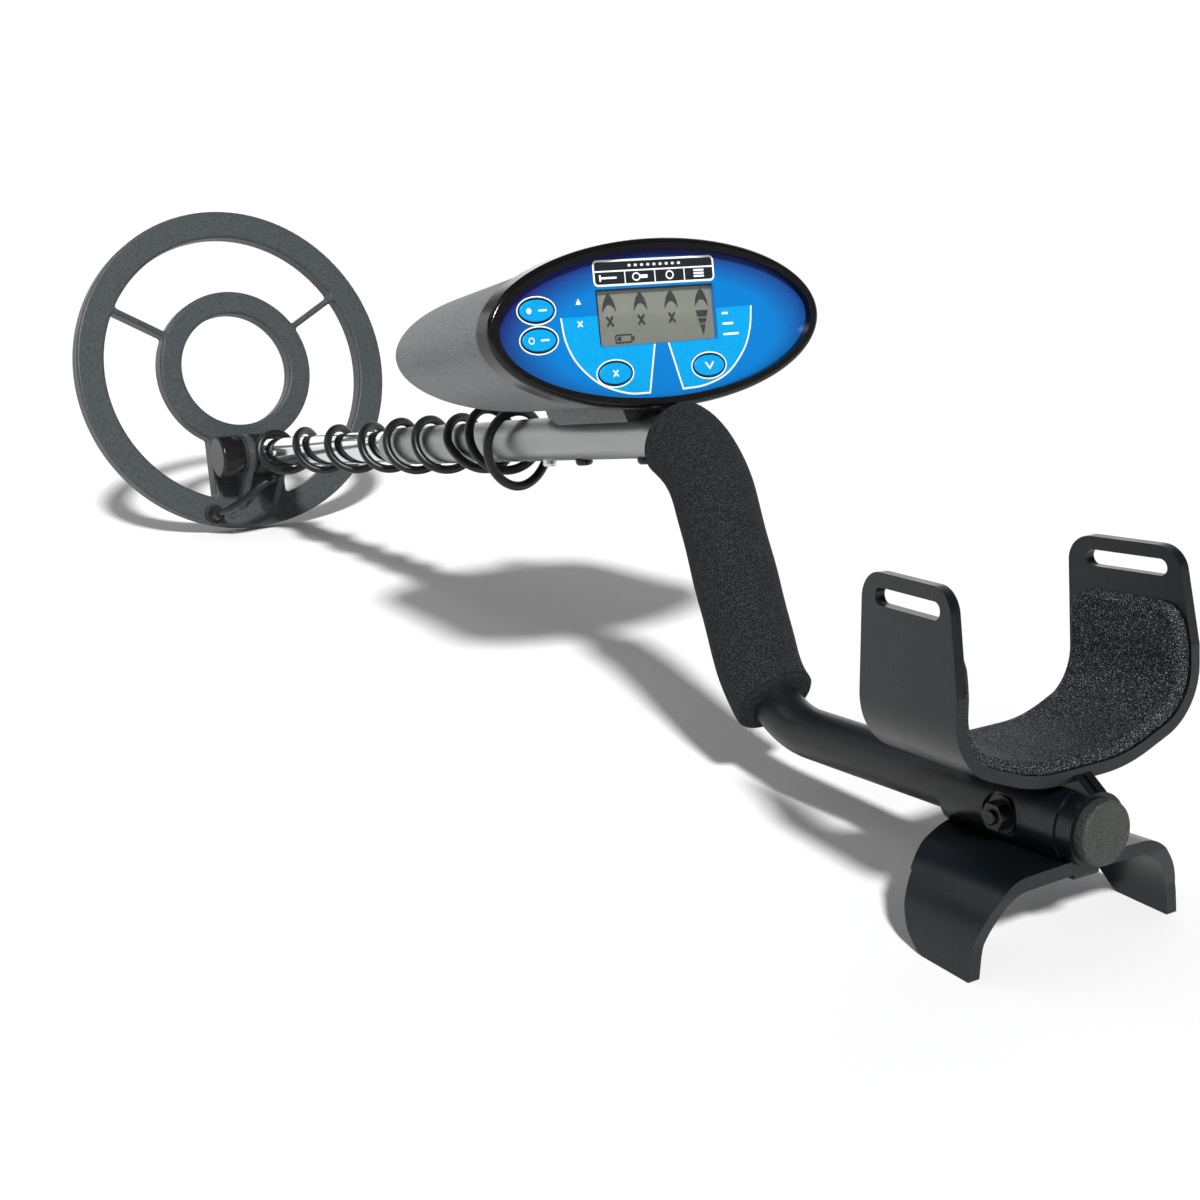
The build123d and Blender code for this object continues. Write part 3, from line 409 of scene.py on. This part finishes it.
TAIL = [
    coil_local(-30, -91, 7.0),
    coil_local(-30, -91, 20.0),
    (13.0, -18.5, -27.0),
    (17.5, -9.0, -19.0),
]
WRAPS = [
    (20.5, 3.0, -14.5),
    (21.5, 11.5, -7.0),
    (22.0, 12.6, 2.5),
    (23.0, 7.5, 10.4),
    (24.5, -1.5, 12.6),
    (25.5, -9.5, 8.6),
    (26.5, -12.7, 0.5),
]
for step in range(1, 61):
    turn = 0.25 + step / 10
    station = wrap_station(turn) + 1.5
    reach = 12.6 if station < UPPER_START + 8 else 13.6
    WRAPS.append(wrap_point(turn, station, reach))
WRAPS += [
    (296.0, -8.5, -11.0),
    (301.0, 2.0, -13.9),
    (304.0, 11.5, -8.5),
    (305.0, 14.6, 2.0),
    (306.0, 8.0, 13.5),
    (307.5, -3.0, 17.0),
    (310.0, -12.5, 11.5),
    (312.5, -15.3, 0.5),
    (318.0, -11.5, -10.5),
    (323.0, -0.5, -14.8),
    (326.5, 10.5, -10.5),
    (330.0, 14.8, -0.5),
    (334.0, 10.0, 10.5),
    (337.0, 0.0, 14.6),
    (336.5, -10.5, 12.0),
    (333.5, -16.5, 2.5),
    (331.5, -16.0, -8.5),
    (330.0, -9.5, -18.0),
    (329.3, 0.0, -22.3),
    (328.0, 10.0, -19.5),
    (327.0, 17.5, -12.0),
    (326.5, 22.0, -2.0),
    (324.5, 25.5, 8.0),
    (317.0, 29.0, 14.5),
    (306.5, 32.0, 16.5),
    (299.0, 34.5, 23.0),
    (298.5, 36.5, 33.5),
    (305.5, SOCKET_Y, FAR_H),
    (FAR_S - 26.1, SOCKET_Y, FAR_H),
]
TIE = tuple((tail + wrap) / 2 for tail, wrap in zip(TAIL[-1], WRAPS[0]))
TAIL.append(TIE)
WRAPS.insert(0, TIE)


def smooth_line(name, route):
    curve = bpy.data.curves.new(name, "CURVE")
    curve.dimensions = "3D"
    curve.resolution_u = 8
    spline = curve.splines.new("NURBS")
    spline.points.add(len(route) - 1)
    for point, spot in zip(spline.points, route):
        point.co = (*stem(*spot), 1)
    spline.order_u = 3
    spline.use_endpoint_u = True
    line = bpy.data.meshes.new_from_object(bpy.data.objects.new(name, curve))
    return [vertex.co.copy() for vertex in line.vertices]


def length_of(path):
    return sum((second - first).length for first, second in zip(path[:-1], path[1:]))


def cable(name, route, node):
    path = smooth_line(name, route)
    piece = swept(name, path, lambda index: CABLE_D / 2 * MM, CABLE_BLACK)
    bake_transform(piece)
    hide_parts(node)


# this bend runs mostly across the coil
cable("cable_tail_jacket", TAIL, "cable_tail")
cable("cable_wraps_jacket", WRAPS, "cable_wraps")


# ------------------------------------------------------------ foam grip
def grip_line():
    """Close points along the bent tube under the grip."""
    first = STEM_SLOPE - GRIP_START_ANGLE
    turn_1 = STEM_SLOPE - MID_SLOPE
    turn_2 = REAR_SLOPE - MID_SLOPE
    cut_1 = BEND_R * math.tan(math.radians(turn_1 / 2))
    cut_2 = BEND_R * math.tan(math.radians(turn_2 / 2))
    spot = stem(CORNER_1 - cut_1, 0, 0)
    centre = spot - ABOVE * BEND_R * MM
    points = []
    for step in range(25):
        slope = first + (MID_SLOPE - first) * step / 24
        points.append(centre + heading(slope + 90) * BEND_R * MM)
    straight = (MID_LENGTH - cut_1 - cut_2) * MM
    corner = points[-1]
    for step in range(1, 25):
        points.append(corner + heading(MID_SLOPE) * straight * step / 24)
    centre = points[-1] + heading(MID_SLOPE + 90) * BEND_R * MM
    for step in range(1, 13):
        slope = MID_SLOPE + GRIP_END_ANGLE * step / 12
        points.append(centre + heading(slope - 90) * BEND_R * MM)
    return points


def ease(value):
    value = min(max(value, 0.0), 1.0)
    return value * value * (3 - 2 * value)


def grip_radius(path):
    """Radius for each point: crowned over the two cut ends, with a faint swell along the hand."""
    total = length_of(path)
    run = 0.0
    radii = []
    for index in range(len(path)):
        if index:
            run += (path[index] - path[index - 1]).length
        edge = min(run, total - run) / MM
        crown = GRIP_LIP * (1 - math.sqrt(max(0.0, 1 - (1 - min(edge / GRIP_LIP, 1)) ** 2)))
        swell = 0.12 * math.sin(run / MM * 0.21) + 0.1 * math.sin(run / MM * 0.09 + 1)
        radii.append((GRIP_R - crown + swell * ease(edge / 8)) * MM)
    return radii


def dense_ends(path):
    """The path with extra points close to each end, for the rounded lips."""
    first, last = path[0], path[-1]
    ahead = (path[1] - first).normalized()
    back = (path[-2] - last).normalized()
    near = [first + ahead * offset * MM for offset in (0.25, 0.6, 1.1, 1.7)]
    far = [last + back * offset * MM for offset in (1.7, 1.1, 0.6, 0.25)]
    return [first, *near, *path[1:-1], *far, last]


grip_path = dense_ends(grip_line())
grip_radii = grip_radius(grip_path)
grip = swept("foam_grip_sleeve", grip_path, lambda index: grip_radii[index], FOAM, sides=64)
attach(grip, "upper")
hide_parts("foam_grip")


# ------------------------------------------------------------ arm pad
def cradle_line(depth, station, steps=14):
    """The inside of the cradle at a station, a given depth in from its outside, pad top to pad top."""
    lean = (CRADLE[0][0] - CRADLE[1][0]) / (CRADLE[0][1] - CRADLE[1][1])
    top = CRADLE[1][0] + lean * (PAD_TOP - CRADLE[1][1])
    shift = math.tan(math.radians(CRADLE_FLARE)) * (station - (WING_START + REST_END) / 2)
    corners = []
    for y, h in ((top, PAD_TOP), *CRADLE[1:5], (-top, PAD_TOP)):
        corners.append(Vector((y + math.copysign(shift, y * shift) if abs(y) > 40 else y, h)))
    points = []
    for before, corner, after, radius in zip(corners[:-2], corners[1:-1], corners[2:], CRADLE_RADII):
        arriving = (corner - before).normalized()
        leaving = (after - corner).normalized()
        turn = arriving.angle(leaving)
        reach = radius * math.tan(turn / 2)
        inward = Vector((-arriving.y, arriving.x))
        start = corner - arriving * reach
        centre = start + inward * radius
        for step in range(steps + 1):
            angle = turn * step / steps
            spoke = (-inward * math.cos(angle) + arriving * math.sin(angle)) * (radius - depth)
            points.append(centre + spoke)
    inward = Vector((-(corners[1] - corners[0]).y, (corners[1] - corners[0]).x)).normalized()
    first = corners[0] + inward * depth
    last = Vector((-first.x, first.y))
    return [first, *points, last]


def evenly(points, count):
    """The same line with evenly spaced points."""
    runs = [0.0]
    for first, second in zip(points[:-1], points[1:]):
        runs.append(runs[-1] + (second - first).length)
    even = []
    index = 0
    for step in range(count):
        goal = runs[-1] * step / (count - 1)
        while index < len(runs) - 2 and runs[index + 1] < goal:
            index += 1
        share = (goal - runs[index]) / (runs[index + 1] - runs[index])
        even.append(points[index].lerp(points[index + 1], share))
    return even


def arm_pad():
    """Crowned pad that lies in the cradle: full in the middle, rolled thin at its edges and round corners."""
    rows, columns = 120, 44
    first, last = WING_START + 2.0, REST_END - 1.0
    front = evenly(cradle_line(CRADLE_T + 0.05, first), rows)
    back = evenly(cradle_line(CRADLE_T + 0.05, last), rows)
    length = length_of(front)
    points = []
    for layer in (1, 0):
        for row in range(rows):
            ahead = (front[min(row + 1, rows - 1)] - front[max(row - 1, 0)]).normalized()
            inward = Vector((-ahead.y, ahead.x))
            run = length * row / (rows - 1)
            corner = max(0.0, PAD_CORNER - min(run, length - run))
            round_off = PAD_CORNER - math.sqrt(max(0.0, PAD_CORNER ** 2 - corner * corner))
            climb = max(0.0, front[row].y - 50)
            low = first + round_off
            high = last - round_off - climb * PAD_REAR_LEAN
            for column in range(columns):
                s = low + (high - low) * column / (columns - 1)
                spot = front[row].lerp(back[row], (s - first) / (last - first))
                edge = min(run, length - run, s - low, high - s)
                crown = math.sqrt(max(0.0, 1 - (1 - min(edge / PAD_CROWN, 1)) ** 2))
                lumps = 0.12 * math.sin(run * 0.31 + s * 0.12) * math.sin(s * 0.23 + 2)
                thick = (0.35 + (PAD_T - 0.45) * crown + lumps * crown) * layer
                flat = spot + inward * thick
                points.append(rear(s, flat.x, flat.y))
    count = rows * columns
    faces = []
    for row in range(rows - 1):
        for column in range(columns - 1):
            here = row * columns + column
            quad = (here, here + 1, here + columns + 1, here + columns)
            faces.append(quad)
            faces.append(tuple(count + index for index in reversed(quad)))
    rim = list(range(columns))
    rim += [row * columns + columns - 1 for row in range(1, rows)]
    rim += [(rows - 1) * columns + column for column in range(columns - 2, -1, -1)]
    rim += [row * columns for row in range(rows - 2, 0, -1)]
    for first, second in zip(rim, rim[1:] + rim[:1]):
        faces.append((second, first, first + count, second + count))
    return mesh_object("arm_pad_foam", points, faces, PAD)


pad = arm_pad()
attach(pad, "upper")
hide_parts("arm_pad")


# ------------------------------------------------------------ printed marks on the front panel
def oval(y, up, wide, high, count=48):
    return [
        (y + wide * math.cos(2 * math.pi * step / count), up + high * math.sin(2 * math.pi * step / count))
        for step in range(count)
    ]


def oblong(y0, up0, y1, up1, radius):
    """Rectangle with round corners."""
    outline = []
    for y, up, start in ((y1, up1, 0), (y0, up1, 90), (y0, up0, 180), (y1, up0, 270)):
        centre_y = y - math.copysign(radius, y - (y0 + y1) / 2)
        centre_up = up - math.copysign(radius, up - (up0 + up1) / 2)
        for step in range(7):
            angle = math.radians(start + 15 * step)
            outline.append((centre_y + radius * math.cos(angle), centre_up + radius * math.sin(angle)))
    return outline


def stroke(line, width, closed=False):
    """Quads along a line of points, mitred at its corners."""
    spots = [Vector(spot) for spot in line]
    left = []
    right = []
    for index, spot in enumerate(spots):
        before = spots[index - 1] if closed or index else None
        after = spots[(index + 1) % len(spots)] if closed or index < len(spots) - 1 else None
        arriving = (spot - before).normalized() if before is not None else (after - spot).normalized()
        leaving = (after - spot).normalized() if after is not None else arriving
        mean = (arriving + leaving).normalized()
        across = Vector((-mean.y, mean.x)) * width / 2 / max(mean.dot(leaving), 0.5)
        left.append(spot + across)
        right.append(spot - across)
    last = len(spots) if closed else len(spots) - 1
    return [
        (left[index], right[index], right[(index + 1) % len(spots)], left[(index + 1) % len(spots)])
        for index in range(last)
    ]


def bend(spots, count=10):
    """Smooth line through a few points of a printed curve."""
    ends = [Vector(spots[0]) * 2 - Vector(spots[1]), Vector(spots[-1]) * 2 - Vector(spots[-2])]
    knots = [ends[0], *[Vector(spot) for spot in spots], ends[1]]
    line = []
    for a, b, c, d in zip(knots[:-3], knots[1:-2], knots[2:-1], knots[3:]):
        for step in range(count):
            t = step / count
            square = (2 * a - 5 * b + 4 * c - d) * t * t
            cube = (3 * b - a - 3 * c + d) * t ** 3
            line.append(0.5 * ((2 * b) + (c - a) * t + square + cube))
    line.append(knots[-2])
    return line


def signed_area(outline):
    following = [*outline[1:], outline[0]]
    return sum(a[0] * b[1] - b[0] * a[1] for a, b in zip(outline, following)) / 2


def print_on_face(name, shapes, lift, material, body="upper"):
    """Thin printed layer: each shape is an outline in panel millimetres, across and up."""
    points = []
    faces = []
    for outline in shapes:
        first = len(points)
        ordered = outline if signed_area(outline) > 0 else list(reversed(outline))
        points += [face(spot[0], spot[1], lift) for spot in ordered]
        faces.append(tuple(range(first, first + len(ordered))))
    piece = mesh_object(name, points, faces, material, smooth=False)
    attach(piece, body)
    return piece


KEYS = {
    "key_on": ("on_key", -56.6, 8.3),
    "key_off": ("off_key", -56.6, -3.2),
    "key_reject": ("reject_key", -23.0, -18.4),
    "key_depth": ("depth_key", 23.0, -18.4),
}
KEY_TOP = 0.5
KEY_GAP = (8.15, 4.85)
FILL_LIFT = 0.05
LINE_LIFT = 0.10
MARK_LIFT = 0.12
DISPLAY_LIFT = -1.94


def open_round(outline, key):
    """Outline that runs in to a key, round it and back out, so that the print stays off the key."""
    y, up = KEYS[key][1:]
    gap = list(oval(y, up, *KEY_GAP))
    if signed_area(gap) * signed_area(outline) > 0:
        gap.reverse()
    nearest = min(
        (math.dist(spot, rim), place, index)
        for place, spot in enumerate(outline)
        for index, rim in enumerate(gap)
    )
    near, start = nearest[1:]
    return outline[: near + 1] + gap[start:] + gap[: start + 1] + outline[near:]


LEFT_LOBE = bend(
    [(-45.9, 4.8), (-44.6, -4.5), (-40.0, -13.6), (-30.5, -22.0), (-18.0, -26.6), (-7.2, -27.3)]
)
RIGHT_LOBE = bend(
    [(46.9, 4.8), (45.4, -4.5), (41.2, -13.4), (32.0, -22.2), (20.5, -26.2), (9.2, -27.0)]
)
left_edge = [*LEFT_LOBE, Vector((-2.9, -7.9))]
right_edge = [*RIGHT_LOBE, Vector((3.9, -7.9))]
print_on_face(
    "lobe_fill",
    [
        open_round([*left_edge, (-28.8, -7.9), (-28.8, 4.8)], "key_reject"),
        open_round([*right_edge, (28.8, -7.9), (28.8, 4.8)], "key_depth"),
    ],
    FILL_LIFT,
    PRINT_CYAN,
)
print_on_face("lobe_lines", stroke(left_edge, 0.7) + stroke(right_edge, 0.7), LINE_LIFT, PRINT_WHITE)

label_frame = oblong(-29.0, 16.4, 29.0, 26.0, 1.8)
print_on_face("label_plate", [label_frame], FILL_LIFT, PRINT_BLACK)
label_lines = stroke(label_frame, 0.8, closed=True)
label_lines += stroke([(-28.8, 21.9), (28.8, 21.9)], 0.6)
for cell in (-14.4, 0.0, 14.4):
    label_lines += stroke([(cell, 16.6), (cell, 21.7)], 0.5)
print_on_face("label_lines", label_lines, LINE_LIFT, PRINT_WHITE)


def nail(y, up):
    shank = oblong(y - 4.6, up - 0.4, y + 3.0, up + 0.4, 0.2)
    head = oblong(y - 5.2, up - 1.3, y - 4.4, up + 1.3, 0.2)
    return [shank, head]


def pull_tab(y, up):
    loop = stroke(oval(y - 1.8, up, 1.7, 1.4, 20), 0.6, closed=True)
    return loop + [oblong(y, up - 0.7, y + 3.6, up + 0.7, 0.3)]


def coin_stack(y, up, count):
    return [
        oblong(y - 2.6, up - 1.5 + 1.2 * level, y + 2.6, up - 0.7 + 1.2 * level, 0.3)
        for level in range(count)
    ]


marks = nail(-21.4, 19.3) + pull_tab(-7.2, 19.3)
marks += stroke(oval(7.2, 19.3, 1.7, 1.5, 24), 0.6, closed=True) + coin_stack(21.6, 19.3, 3)
for step in range(9):
    marks.append(oval(-12 + 3 * step, 23.9, 0.75, 0.55, 14))
marks += [[(-38.6, 9.6), (-36.0, 9.6), (-37.3, 12.0)], *stroke([(-38.4, 0.9), (-36.2, 3.1)], 0.6)]
marks += stroke([(-38.4, 3.1), (-36.2, 0.9)], 0.6)
for level in range(3):
    marks += stroke([(31.6, 2.4 - 4.3 * level), (31.6 + 3.0 + 2.4 * level, 2.4 - 4.3 * level)], 0.9)
print_on_face("panel_marks", marks, MARK_LIFT, PRINT_WHITE)

def key_symbol(key, y, up):
    if key == "key_on":
        return [oval(y - 3.6, up, 1.15, 1.15, 20), oblong(y + 0.6, up - 0.35, y + 4.4, up + 0.35, 0.2)]
    if key == "key_off":
        return stroke(oval(y - 3.6, up, 1.15, 1.15, 24), 0.4, closed=True) + [
            oblong(y + 0.6, up - 0.35, y + 4.4, up + 0.35, 0.2)
        ]
    if key == "key_reject":
        cross = stroke([(y - 1.2, up - 1.2), (y + 1.2, up + 1.2)], 0.6)
        return cross + stroke([(y - 1.2, up + 1.2), (y + 1.2, up - 1.2)], 0.6)
    return stroke([(y - 2.0, up + 1.4), (y, up - 1.2), (y + 2.0, up + 1.4)], 0.7)


for key, (body, y, up) in KEYS.items():
    print_on_face(f"{key}_symbol", key_symbol(key, y, up), KEY_TOP + 0.06, PRINT_WHITE, body)
    dark_ring = stroke(oval(y, up, *KEY_GAP), 0.45, closed=True)
    white_ring = stroke(oval(y, up, 8.7, 5.4), 0.5, closed=True)
    print_on_face(f"{key}_dark_ring", dark_ring, MARK_LIFT, PRINT_BLACK)
    print_on_face(f"{key}_white_ring", white_ring, MARK_LIFT, PRINT_WHITE)


# ------------------------------------------------------------ segments of the liquid crystal display
def arrowhead(y, up):
    """Pointed arch, hollow below."""
    outline = []
    for step in range(13):
        share = step / 12
        outline.append((y + 3.3 * (1 - (1 - share) ** 2) ** 0.8, up + 7.8 * (1 - share)))
    for step in range(1, 12):
        share = 1 - step / 6
        outline.append((y + 3.3 * share, up + 3.2 * (1 - share * share)))
    for step in range(12, 0, -1):
        share = step / 12
        outline.append((y - 3.3 * (1 - (1 - share) ** 2) ** 0.8, up + 7.8 * (1 - share)))
    return outline


def depth_wedge(y, top, height, half):
    """Wedge that points down, cut in three by thin gaps."""
    bands = []
    for start, end in ((0.0, 0.26), (0.31, 0.50), (0.55, 0.98)):
        wide = half * (1 - start)
        narrow = half * (1 - end)
        bands.append(
            [(y - wide, top - height * start), (y + wide, top - height * start),
             (y + narrow, top - height * end), (y - narrow, top - height * end)]
        )
    return bands


segments = []
for column in (-22.0, -7.0, 8.0, 23.0):
    segments.append(arrowhead(column, 5.6))
for column in (-22.0, -7.0, 8.0):
    segments += stroke([(column - 1.5, 0.2), (column + 1.5, 4.2)], 1.1)
    segments += stroke([(column - 1.5, 4.2), (column + 1.5, 0.2)], 1.1)
segments += depth_wedge(23.0, 4.4, 10.6, 3.1)
segments += stroke(oblong(-20.0, -6.4, -12.4, -3.4, 0.4), 0.7, closed=True)
segments += [oblong(-19.2, -5.7, -17.4, -4.1, 0.1), oblong(-12.0, -5.7, -11.0, -4.1, 0.1)]
print_on_face("display_segments", segments, DISPLAY_LIFT, DISPLAY_INK)
# painted shadow: a black stroke along the top and left edges of the display window, where its recess lies in
# shade
painted_window_shadow = stroke([(-28.6, -6.6), (-28.6, 14.6), (28.2, 14.6)], 0.7)
print_on_face("painted_window_shadow", painted_window_shadow, FILL_LIFT, PRINT_BLACK)

# ------------------------------------------------------------ floor and light
WORLD_STRENGTH = 0.1
FLOOR_RADIUS = 6.0
RIM_RADIUS = 3.0
FLOOR_SIDES = 72


def studio_floor():
    """Plain round floor whose rim curves up all round, far from the object."""
    profile = [(FLOOR_RADIUS - 0.3, 0.0), (FLOOR_RADIUS, 0.0)]
    for step in range(1, 13):
        angle = math.radians(90 * step / 12)
        profile.append((FLOOR_RADIUS + RIM_RADIUS * math.sin(angle), RIM_RADIUS * (1 - math.cos(angle))))
    points = []
    for radius, height in profile:
        for side in range(FLOOR_SIDES):
            turn = 2 * math.pi * side / FLOOR_SIDES
            points.append((radius * math.cos(turn), radius * math.sin(turn), height - 0.0002))
    faces = [tuple(range(FLOOR_SIDES))]
    for ring in range(len(profile) - 1):
        for side in range(FLOOR_SIDES):
            first = ring * FLOOR_SIDES + side
            second = ring * FLOOR_SIDES + (side + 1) % FLOOR_SIDES
            faces.append((first, first + FLOOR_SIDES, second + FLOOR_SIDES, second))
    material, tree, shader = new_material("studio_white", (0.86, 0.86, 0.86), 0.9)
    floor = mesh_object("floor", points, faces, material)


def area_light(name, place, target, size, power):
    data = bpy.data.lights.new(name, "AREA")
    data.shape = "DISK"
    data.size = size
    data.energy = power
    light = bpy.data.objects.new(name, data)
    light.location = place
    light.rotation_euler = (Vector(target) - Vector(place)).to_track_quat("-Z", "Y").to_euler()
    bpy.context.collection.objects.link(light)


def sun_light(name, bearing, height, spread, power):
    data = bpy.data.lights.new(name, "SUN")
    data.angle = math.radians(spread)
    data.energy = power
    light = bpy.data.objects.new(name, data)
    light.rotation_euler = (math.radians(90 - height), 0, math.radians(bearing + 90))
    bpy.context.collection.objects.link(light)


studio_floor()
sun_light("key", -22, 42, 6, 4.5)
area_light("top_left", (-0.9, -1.0, 1.5), (-0.05, 0.0, 0.1), 1.2, 4.5)
area_light("back", (-0.6, 1.6, 1.1), (0.0, 0.0, 0.1), 1.6, 3)

world = bpy.data.worlds.new("studio")
world.use_nodes = True
world.node_tree.nodes["Background"].inputs["Color"].default_value = (1, 1, 1, 1)
world.node_tree.nodes["Background"].inputs["Strength"].default_value = WORLD_STRENGTH
bpy.context.scene.world = world
bpy.context.scene.view_settings.view_transform = "Standard"
